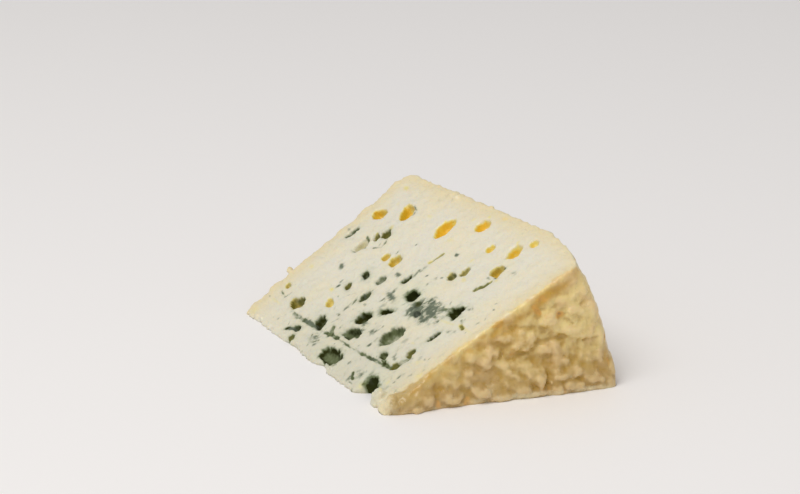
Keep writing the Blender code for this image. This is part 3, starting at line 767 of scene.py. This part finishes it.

# The rind: where it starts past an edge, how far that border wavers, what pales and ripens it, and the
# painted shade and highlight on it.
RIND_BORDER = (-0.4 * MM, 2.6 * MM)
NEAR_BORDER = 2.0 * MM
NEAR_BORDER_FADES = (2 * MM, 8 * MM)
THIN_BORDER = 1.6 * MM
THIN_BORDER_FADES = (3 * MM, 14 * MM)
BORDER_WAVER = 1.5 * MM
BORDER_WAVES = (5 * MM, 1.8 * MM)
FINER_WAVES = 0.6
WARM_DEPTH = 9 * MM
RIPE_BELOW = 3 * MM
RIPE_WIDTH = 2.2 * MM
RIPE_REACH = (25 * MM, 50 * MM)
LEAST_RIPE = 0.3
RIPE_FADES = (64 * MM, 84 * MM)
RIPE_FADE = 0.75
# Painted shade: the paste and the rind are darker towards the foot, and less so towards the far end.
FOOT_SHADE_HEIGHT = 24 * MM
FOOT_SHADE_FADES = (55 * MM, 95 * MM)
FOOT_SHADE_FADE = 0.75
NEAR_DEPTH = 12 * MM
NEAR_FACING = (0.1, 0.4)
TURNED_FACING = (0.3, 0.6)
HIDDEN_FOOT = 3 * MM
EDGE_PALER = 0.15
EDGE_PALE_DEPTH = 1.3 * MM
TIP_PALE = (-2 * MM, 9 * MM)
TIP_WAVER = (4 * MM, 2.5 * MM)
RIND_PATCH = (46.4, 83.0, 4.6, 2.4, -10)
RIND_PATCH_SHARE = 0.7
SUNKEN_PASSES = 40
FACING_PASSES = 4
# How sunk a place is for the full crease colour, partly painted shade, or how proud for a painted
# highlight.
CREASED_WHEN_SUNK = 0.45 * MM
# The painted highlight starts a little below the cut edge.
PAINTED_HIGHLIGHT_BELOW = (1 * MM, 4 * MM)
PATCH_FALL = 1.1


def faded(past, depth):
    """1 up to an edge, falling off past it over the given depth."""
    return np.exp(-np.clip(past, 0.0, None) / depth)


def patch(side, mouth, ragged=1.0):
    """How much of a soft patch with the place and size of a hollow each vertex has."""
    return np.exp(-PATCH_FALL * side.from_hollow(*mouth, ragged) ** 2)


def uneven(level, depth, size, seed, limits):
    """A level that wanders up and down between two limits."""
    return np.clip(level + depth * wander(shape, size, seed), *limits)


turn = np.arctan2(shape[:, 2], shape[:, 0])
across_cut = np.abs(facing[:, 2] * np.cos(turn) - facing[:, 0] * np.sin(turn))
turned = smooth_step(*TURNED_FACING, 1.0 - across_cut)
below_cut = np.clip(-(shape @ np.array(UPPER_OUT)), 0.0, None)
on_near = smooth_step(*NEAR_FACING, -facing[:, 1]) * (shape[:, 1] < NEAR_DEPTH)
past_foot = shape[:, 2] + HIDDEN_FOOT * (1.0 - on_near)
past_edge = np.minimum(below_cut, past_foot) - np.clip(skin_depth, 0.0, None)
past_edge += NEAR_BORDER * (1.0 - smooth_step(*NEAR_BORDER_FADES, from_near))
past_edge += THIN_BORDER * (1.0 - smooth_step(*THIN_BORDER_FADES, shape[:, 0]))
waver = wander(shape, BORDER_WAVES[0], 18) + FINER_WAVES * wander(shape, BORDER_WAVES[1], 24)
rind = smooth_step(*RIND_BORDER, past_edge + BORDER_WAVER * waver)
rind *= 1.0 - EDGE_PALER * np.exp(-below_cut / EDGE_PALE_DEPTH)
rind *= smooth_step(*TIP_PALE, shape[:, 0] + TIP_WAVER[1] * wander(shape, TIP_WAVER[0], 19))
sunk = np.sum((evened(cheese, shape, SUNKEN_PASSES) - shape) * facing, axis=1)
even_facing = evened(cheese, facing, FACING_PASSES)
# Creases are painted a deeper ochre: partly the rind's own colour, partly painted shade.
crease = smooth_step(0.0, CREASED_WHEN_SUNK, sunk)
# A painted highlight on the tops of the lumps, kept a little below the cut edge.
proud = smooth_step(0.0, CREASED_WHEN_SUNK, -sunk) * smooth_step(*PAINTED_HIGHLIGHT_BELOW, below_cut)
warm = faded(skin_depth, WARM_DEPTH)
views = sides(shape)
near_side = views[2][0]
# Pale curds, and a few painted highlights on the tops of curds, lighten the near rind.
for *mouth, amount in PALE_CURDS_AND_HIGHLIGHTS:
    rind *= 1.0 - amount * on_near * patch(near_side, mouth)
rind = np.maximum(rind, RIND_PATCH_SHARE * patch(views[0][0], RIND_PATCH))
band = np.exp(-(((below_cut - RIPE_BELOW) / RIPE_WIDTH) ** 2))
band *= LEAST_RIPE + (1.0 - LEAST_RIPE) * smooth_step(*RIPE_REACH, reach)
band *= 1.0 - RIPE_FADE * smooth_step(*RIPE_FADES, reach)
ripe = rind * band * uneven(0.8, 1.2, size=5 * MM, seed=26, limits=(0.2, 1.2))
for *mouth, amount in RIPE_CURDS:
    ripe = np.maximum(ripe, amount * on_near * patch(near_side, mouth, DENT_RAGS))
rind = np.maximum(rind, np.minimum(ripe, 1.0))
calm = 1.0 - roughness_of_rind(shape)
# Painted shade, darker towards the foot and fading towards the far end.
low = 1.0 - smooth_step(0.0, FOOT_SHADE_HEIGHT, shape[:, 2])
low *= 1.0 - FOOT_SHADE_FADE * smooth_step(*FOOT_SHADE_FADES, shape[:, 1])

honey, mould, smear, stain, tint = (np.zeros(len(shape)) for _ in range(5))
draw = random.Random(21)


def sown_specks(count, place, across, up, thick, longer, turn, amount):
    """Specks of mould: a method that draws places, and the ranges of their places, shapes and amounts."""
    rows = []
    for _ in range(count):
        spot = place(*across), place(*up)
        width = draw.uniform(*thick)
        long = width * draw.uniform(*longer)
        rows.append((*spot, long, width, draw.gauss(*turn), draw.uniform(*amount)))
    return rows


# Fine specks over the whole face, thickest in its lower middle, and larger ones at the near corner.
specks = sown_specks(
    130,
    draw.gauss,
    across=(46, 30),
    up=(25, 16),
    thick=(0.5, 1.3),
    longer=(1.2, 3.6),
    turn=(75, 30),
    amount=(0.12, 0.4),
)
specks += sown_specks(
    36,
    draw.uniform,
    across=(1, 38),
    up=(2, 30),
    thick=(1.4, 3.4),
    longer=(1.2, 3.0),
    turn=(60, 30),
    amount=(0.1, 0.22),
)

# How far in a hollow, a dent or a vein its lining starts, and how far its mould and its green tint reach.
SEEN_UPPER = (-5.5, -4.5)
SEEN_LOWER = (-4.5, -3.5)
LOWER_CLEAR = 8 * MM
HOLLOW_EDGE = (0.85, 1.15)
DENT_EDGE = (0.1, 1.5)
VEIN_EDGE = (0.6, 1.3)
HALO = 0.9
HOLLOW_HALO = 0.5
VEIN_HALO = 0.35
TINTED = 3.5
# Painted shade: on the steep walls of a hollow, honey is a deeper orange and mould thicker and darker.
HONEY_FLAT = 0.72
HONEY_SHADE_ON_STEEP = 0.5
MOULD_FLAT = 0.6
MOULD_SHADE_ON_STEEP = 1.3
STAIN_LEVEL = 0.75
STAIN_RAGS = 0.6
STAIN_GRAIN = 1.4 * MM
# Painted shade: honey is a deeper orange on walls that face uphill and towards the near end.
SHADED_TOWARDS = 0.6 * np.array(UPHILL) - 0.6 * np.array(ALONG)
HONEY_SHADE_LEANS = 1.1
ragged_stain = STAIN_LEVEL + STAIN_RAGS * wander(shape, STAIN_GRAIN, 23)
lean = even_facing @ SHADED_TOWARDS
honey_shade_and_grain = uneven(0.95 + HONEY_SHADE_LEANS * lean, 0.4, size=2 * MM, seed=27, limits=(0.45, 1.35))
broken = uneven(0.9, 1.1, size=2.4 * MM, seed=25, limits=(0.5, 1.2))
for side, rows, veins in views:
    if side.outward[2] > 0.0:
        seen = smooth_step(*SEEN_UPPER, side.out)
    elif side.outward[2] < 0.0:
        seen = smooth_step(*SEEN_LOWER, side.out) * (shape[:, 0] > LOWER_CLEAR)
    else:
        seen = turned * on_near
    steep = 1.0 - np.clip(even_facing @ side.outward, 0.0, 1.0)
    for *mouth, (honeyed, mouldy) in rows:
        rim = side.from_hollow(*mouth, DENT_RAGS if side is near_side else raggedness(mouldy))
        if side.outward[2] == 0.0:
            soft = seen * (1.0 - smooth_step(*DENT_EDGE, rim))
            stain = np.maximum(stain, honeyed * soft * ragged_stain)
            mould = np.maximum(mould, mouldy * soft)
            continue
        inside = 1.0 - smooth_step(*HOLLOW_EDGE, rim)
        past_rim = (rim - 1.0) * min(mouth[2:4]) / 2
        halo = HOLLOW_HALO * faded(past_rim, HALO)
        # Painted shade on steep walls, and on walls facing uphill and towards the near end.
        deeper_in_shade = HONEY_FLAT + HONEY_SHADE_ON_STEEP * steep
        honey = np.maximum(honey, honeyed * inside * seen * deeper_in_shade * honey_shade_and_grain)
        tint = np.maximum(tint, mouldy * seen * faded(past_rim, TINTED))
        lining_and_shade = inside * (MOULD_FLAT + MOULD_SHADE_ON_STEEP * steep)
        mould = np.maximum(mould, mouldy * np.maximum(lining_and_shade, halo) * seen)
    for width, _, (honeyed, mouldy), route in veins:
        edge = side.from_vein(width, route)
        inside = 1.0 - smooth_step(*VEIN_EDGE, edge)
        halo = VEIN_HALO * faded((edge - 1.0) * width / 2, HALO)
        honey = np.maximum(honey, honeyed * inside * seen)
        mould = np.maximum(mould, mouldy * np.maximum(inside, halo) * broken * seen)
    if side.outward[2] > 0.0:
        for *mouth, amount in (*SMEARS, *specks):
            smear = np.maximum(smear, amount * seen * patch(side, mouth))
        for *mouth, amount in RIPE_SPOTS:
            honey = np.maximum(honey, amount * seen * patch(side, mouth))
smear *= (1.0 - np.clip(honey, 0.0, 1.0)) * (1.0 - rind)

# The low amount is painted shade at the foot; honey and mould hold painted shade on the walls of hollows.
paints = dict(honey=honey, mould=mould, smear=smear, stain=stain, tint=tint, rind=rind, ripe=ripe)
# The crease amount is partly painted shade, and the amount on the curds' tops is a painted highlight.
paints |= dict(crease=crease, proud=proud, warm=warm, calm=calm, low=low)
for name, values in paints.items():
    layer = cheese.data.attributes.new(name, "FLOAT", "POINT")
    layer.data.foreach_set("value", values.astype(np.float32))

# The middle of the solid's footprint is at its frame's origin. What stands out of the solid's box is
# pressed back.
SOLID_MIDDLE = (45.079 * MM, 54.942 * MM, 0.0)
PRESSED_DEPTH = 3 * MM


def held_in(values, low, high):
    """Press the outer few millimetres at each end together, to keep the values between low and high."""
    for end, sign in ((low, -1.0), (high, 1.0)):
        outside = max(np.max(sign * (values - end)), 0.0)
        inner = end - sign * PRESSED_DEPTH
        past = np.clip(sign * (values - inner), 0.0, None)
        values = values - sign * past * outside / (PRESSED_DEPTH + outside)
    return values


box_low, box_high = (np.array(corner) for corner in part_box("blue_cheese_wedge"))
shape = shape - np.array(SOLID_MIDDLE) + (*(box_low + box_high)[:2] / 2, box_low[2])
for axis in range(3):
    shape[:, axis] = held_in(shape[:, axis], box_low[axis], box_high[axis])
cheese.data.vertices.foreach_set("co", shape.ravel())
cheese.data.update()
cheese.data.shade_smooth()


# ---- The paste's finish ----------------------
# Ivory paste, moist and slightly clear, whiter inside and warmer towards the rind. Young hollows are
# honey-coloured where the paste has dried, and older ones are lined with blue-green mould, near black where
# it is thick. Painted shade darkens the foot, the creases of the rind and the walls of the hollows, and a
# painted highlight lightens the tops of the rind's curds.

IVORY = (0.745, 0.71, 0.59)
# The paste with painted shade, for the foot.
IVORY_FOOT_SHADE = (0.60, 0.565, 0.435)
IVORY_GREY = (0.50, 0.50, 0.40)
IVORY_GREEN = (0.64, 0.66, 0.50)
CREAM = (0.78, 0.71, 0.52)
BUTTER = (0.76, 0.655, 0.41)
HONEY_YELLOW = (0.79, 0.68, 0.21)
HONEY_AMBER = (0.80, 0.485, 0.02)
RIND_TAN = (0.60, 0.39, 0.11)
RIND_CREAM = (0.81, 0.64, 0.27)
# The colour of the painted highlight on the tops of the curds.
RIND_PAINTED_HIGHLIGHT = (0.95, 0.74, 0.41)
# The creases' colour: partly the rind's own deeper ochre, partly painted shade.
RIND_CREASE_AND_SHADE = (0.45, 0.265, 0.035)
# The rind with painted shade, for the foot.
RIND_FOOT_SHADE = (0.37, 0.22, 0.055)
RIND_PINK = (0.68, 0.45, 0.21)
RIND_RIPE = (0.56, 0.32, 0.035)
STAIN_ORANGE = (0.72, 0.38, 0.07)
STAIN_BROWN = (0.28, 0.13, 0.045)
MOULD_HAZE = (0.46, 0.47, 0.36)
SMEAR_GREY = (0.15, 0.175, 0.135)
MOULD_GREEN = (0.15, 0.18, 0.09)
MOULD_DARK = (0.021, 0.026, 0.004)
MOULD_OLIVE = (0.20, 0.17, 0.02)


class Value:
    """A socket that gives numbers, with arithmetic that adds Math nodes."""

    def __init__(self, finish, socket):
        self.finish = finish
        self.socket = socket

    def math(self, operation, first, second):
        return self.finish.node("ShaderNodeMath", {"operation": operation}, {0: first, 1: second})

    def __add__(self, other):
        return self.math("ADD", self, other)

    __radd__ = __add__

    def __sub__(self, other):
        return self.math("SUBTRACT", self, other)

    def __rsub__(self, other):
        return self.math("SUBTRACT", other, self)

    def __mul__(self, other):
        return self.math("MULTIPLY", self, other)

    __rmul__ = __mul__

    def between(self, low, high):
        """0 below low and 1 above high, with a smooth rise."""
        settings = {"interpolation_type": "SMOOTHSTEP"}
        sockets = {"Value": self, "From Min": low, "From Max": high}
        return self.finish.node("ShaderNodeMapRange", settings, sockets)


class Finish:
    """A material under construction."""

    def __init__(self, name):
        self.material = bpy.data.materials.new(name)
        self.material.use_nodes = True
        self.material.node_tree.nodes.clear()

    def node(self, kind, settings, sockets, output=0):
        """Add a node, set it, feed its sockets by name or number, and give one of its outputs."""
        made = self.material.node_tree.nodes.new(kind)
        for name, value in settings.items():
            if name == "stops":
                for place, colour in value[len(made.color_ramp.elements):]:
                    made.color_ramp.elements.new(place)
                for stop, (place, colour) in zip(made.color_ramp.elements, value):
                    stop.position = place
                    stop.color = (*colour, 1.0)
            else:
                setattr(made, name, value)
        for name, value in sockets.items():
            if isinstance(value, Value):
                self.material.node_tree.links.new(value.socket, made.inputs[name])
            else:
                made.inputs[name].default_value = value
        return Value(self, made.outputs[output]) if made.outputs else None

    def place(self):
        """Where the surface is, in metres."""
        return self.node("ShaderNodeTexCoord", {}, {}, "Object")

    def paint(self, name):
        """One of the mesh's painted amounts."""
        return self.node("ShaderNodeAttribute", {"attribute_name": name}, {}, "Fac")

    def grain(self, size, detail=2.0, squeeze=(1.0, 1.0, 1.0)):
        """Noise with bumps of the given size, in metres, narrower along an axis with a squeeze over 1."""
        place = self.node("ShaderNodeVectorMath", {"operation": "MULTIPLY"}, {0: self.place(), 1: squeeze})
        sockets = {"Vector": place, "Scale": 1.0 / size, "Detail": detail}
        return self.node("ShaderNodeTexNoise", {}, sockets, "Fac")

    def blend(self, amount, first, second):
        """From the first colour to the second."""
        first, second = (c if isinstance(c, Value) else (*c, 1.0) for c in (first, second))
        return self.node("ShaderNodeMix", {"data_type": "RGBA"}, {0: amount, 6: first, 7: second}, 2)

    def layered(self, colour, *layers):
        """The colour with an amount of each layer's colour laid over it in turn."""
        for amount, over in layers:
            colour = self.blend(amount, colour, over)
        return colour


# How strongly each look shows where its amount is full.
# The first two are painted shade towards the foot.
FOOT_SHADE_SHOWS = 0.65
RIND_FOOT_SHADE_SHOWS = 0.8
PINK_SHOWS = 0.6
# A painted highlight on the curds' tops.
PAINTED_HIGHLIGHT_SHOWS = 0.42
# The creases' look is partly painted shade.
CREASE_AND_SHADE_SHOWS = 0.95
CREASE_CALMED = 0.55
RIPE_SHOWS = 0.9
STAIN_SHOWS = 0.8
TINT_SHOWS = 0.55
MOTTLE_SHOWS = 0.08
OLIVE_SHOWS = 0.8
SMEAR_SHOWS = 0.7

paste = Finish("paste")
slow = paste.grain(14 * MM)
curd = paste.grain(4 * MM)
fine = paste.grain(0.9 * MM, 3.0)
finest = paste.grain(0.35 * MM, 2.0)

streaks = paste.grain(2.6 * MM, 2.5, (1.0, 1.3, 1.0))
patches = paste.grain(7 * MM, 2.5)
tufts = paste.grain(1.3 * MM, 2.0)

tan_amount = (curd * 0.6 + slow * 0.4 + paste.paint("calm") * 0.45).between(0.4, 0.8)
crease_and_shade = paste.paint("crease") * (CREASE_AND_SHADE_SHOWS - paste.paint("calm") * CREASE_CALMED)
stained = paste.paint("stain")
rind_colour = paste.layered(
    RIND_TAN,
    (tan_amount, RIND_CREAM),
    (patches.between(0.45, 0.62) * PINK_SHOWS, RIND_PINK),
    # Painted shade towards the foot.
    (paste.paint("low") * RIND_FOOT_SHADE_SHOWS, RIND_FOOT_SHADE),
    # A painted highlight on the curds' tops.
    (paste.paint("proud") * PAINTED_HIGHLIGHT_SHOWS, RIND_PAINTED_HIGHLIGHT),
    # Creases: partly their own deeper ochre, partly painted shade.
    (crease_and_shade, RIND_CREASE_AND_SHADE),
    (paste.paint("ripe").between(0.0, 1.0) * RIPE_SHOWS, RIND_RIPE),
    (stained.between(0.05, 0.6) * STAIN_SHOWS, STAIN_ORANGE),
    (stained.between(0.5, 1.0), STAIN_BROWN),
)
rind_amount = (paste.paint("rind") + (fine - 0.5) * 0.5).between(0.1, 0.85)
tinted = paste.paint("tint") * TINT_SHOWS
mottled = paste.grain(3.0 * MM, 3.0).between(0.5, 0.75)
# The honey amount holds painted shade on the walls of hollows.
honeyed = paste.paint("honey") * (0.7 + fine * 0.6)
honey_colour = paste.blend(honeyed.between(0.45, 1.2), HONEY_YELLOW, HONEY_AMBER)
colour = paste.layered(
    IVORY,
    (slow.between(0.35, 0.75), CREAM),
    # Painted shade towards the foot.
    (paste.paint("low") * FOOT_SHADE_SHOWS, IVORY_FOOT_SHADE),
    ((paste.paint("warm") + (curd - 0.5) * 0.3).between(0.1, 0.9), BUTTER),
    (rind_amount, rind_colour),
    (tinted, IVORY_GREEN),
    (mottled * (MOTTLE_SHOWS + tinted), IVORY_GREY),
    (honeyed.between(0.05, 0.55), honey_colour),
)
smeared = paste.paint("smear") * (0.38 + streaks.between(0.35, 0.65) * 1.05 + finest * 0.2)
# The mould amount holds painted shade on the steep walls of hollows.
furry_amount = paste.paint("mould") * (0.55 + tufts * 0.9)
mouldy = furry_amount.math("MAXIMUM", furry_amount, smeared)
stops = ((0.1, MOULD_HAZE), (0.55, MOULD_GREEN), (1.0, MOULD_DARK))
mould_colour = paste.layered(
    paste.node("ShaderNodeValToRGB", {"stops": stops}, {"Fac": mouldy}),
    (paste.paint("honey") * OLIVE_SHOWS, MOULD_OLIVE),
    (smeared.between(0.1, 0.5) * SMEAR_SHOWS, SMEAR_GREY),
)
veiled = mouldy.between(0.0, 0.5)

BUMP_STRENGTH = 0.5
BUMP_DEPTH = 0.14 * MM
CLEAR_SHARE = 0.3
CLEAR_DEPTH = 1.0 * MM
CLEAR_BY_CHANNEL = (1.0, 0.75, 0.45)
DULL = 0.9
DULL_SHINE = 0.1

RIND_LUMPS = 1.6
PIT_DEPTH = 1.5
MOIST_ROUGHNESS = 0.3
CURD_ROUGHER = 0.25
SKIN_WETTER = 0.12

lumps = paste.grain(1.9 * MM, 1.5)
pits = paste.grain(1.5 * MM, 2.0).between(0.6, 0.72)
height = fine * 0.6 + finest * 0.4 + paste.paint("rind") * lumps * RIND_LUMPS - pits * PIT_DEPTH
bumps = {"Strength": BUMP_STRENGTH, "Distance": BUMP_DEPTH, "Height": height}
bump = paste.node("ShaderNodeBump", {}, bumps)
moist = paste.node(
    "ShaderNodeBsdfPrincipled",
    {},
    {
        "Base Color": colour,
        "Roughness": MOIST_ROUGHNESS + curd * CURD_ROUGHER - paste.paint("warm") * SKIN_WETTER,
        "Normal": bump,
        "Subsurface Weight": CLEAR_SHARE,
        "Subsurface Radius": CLEAR_BY_CHANNEL,
        "Subsurface Scale": CLEAR_DEPTH,
    },
)
furry = paste.node(
    "ShaderNodeBsdfPrincipled",
    {},
    {"Base Color": mould_colour, "Roughness": DULL, "Normal": bump, "Specular IOR Level": DULL_SHINE},
)
shader = paste.node("ShaderNodeMixShader", {}, {0: veiled, 1: moist, 2: furry})
paste.node("ShaderNodeOutputMaterial", {}, {"Surface": shader})
cheese.data.materials.clear()
cheese.data.materials.append(paste.material)

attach(cheese, "root")
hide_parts("blue_cheese_wedge")


# ---- The studio ------------------------------
# A wide pale floor, a pale sky and two soft lights, a large one high on the left and a faint one low in
# front. The camera looks down a little on the near corner.

FLOOR_SIDE = 8.0
FLOOR_COLOUR = (0.90, 0.88, 0.875)
FLOOR_ROUGHNESS = 0.6

floor_mesh = bmesh.new()
bmesh.ops.create_grid(floor_mesh, x_segments=1, y_segments=1, size=FLOOR_SIDE / 2)
floor = object_of(floor_mesh, "floor")
pale = Finish("pale_floor")
looks = {"Base Color": (*FLOOR_COLOUR, 1.0), "Roughness": FLOOR_ROUGHNESS}
matt = pale.node("ShaderNodeBsdfPrincipled", {}, looks)
pale.node("ShaderNodeOutputMaterial", {}, {"Surface": matt})
floor.data.materials.append(pale.material)

SKY_COLOUR = (1.0, 0.99, 0.98)
SKY_STRENGTH = 0.49
world = bpy.data.worlds.new("pale_sky")
world.use_nodes = True
world.node_tree.nodes["Background"].inputs["Color"].default_value = (*SKY_COLOUR, 1.0)
world.node_tree.nodes["Background"].inputs["Strength"].default_value = SKY_STRENGTH
bpy.context.scene.world = world

LIT = Vector((0.0, 0.0, 0.02))


def soft_light(name, place, side, power, colour):
    """A square light that looks at the cheese."""
    data = bpy.data.lights.new(name, "AREA")
    data.size = side
    data.energy = power
    data.color = colour
    lamp = bpy.data.objects.new(name, data)
    lamp.location = place
    lamp.rotation_mode = "QUATERNION"
    lamp.rotation_quaternion = (LIT - Vector(place)).to_track_quat("-Z", "Y")
    bpy.context.scene.collection.objects.link(lamp)


soft_light("key_light", (-0.9, -0.45, 1.71), side=1.08, power=21.6, colour=(1.0, 0.985, 0.96))
soft_light("fill_light", (-0.7, -1.0, 0.5), side=0.8, power=0.6, colour=(1.0, 0.99, 0.98))

CAMERA_PLACE = (-0.3896, -0.7906, 0.3049)
CAMERA_HEADING = math.radians(64.41)
CAMERA_DOWN = math.radians(17.0)
PIXELS_WIDE = 800
FOCAL_PIXELS = 2700
SENSOR = 36.0

camera = bpy.data.objects.new("camera", bpy.data.cameras.new("camera"))
camera.data.sensor_width = SENSOR
camera.data.lens = FOCAL_PIXELS / PIXELS_WIDE * SENSOR
camera.location = CAMERA_PLACE
camera.rotation_euler = (math.pi / 2 - CAMERA_DOWN, 0.0, CAMERA_HEADING - math.pi / 2)
bpy.context.scene.collection.objects.link(camera)
bpy.context.scene.camera = camera
bpy.context.scene.view_settings.view_transform = "Standard"
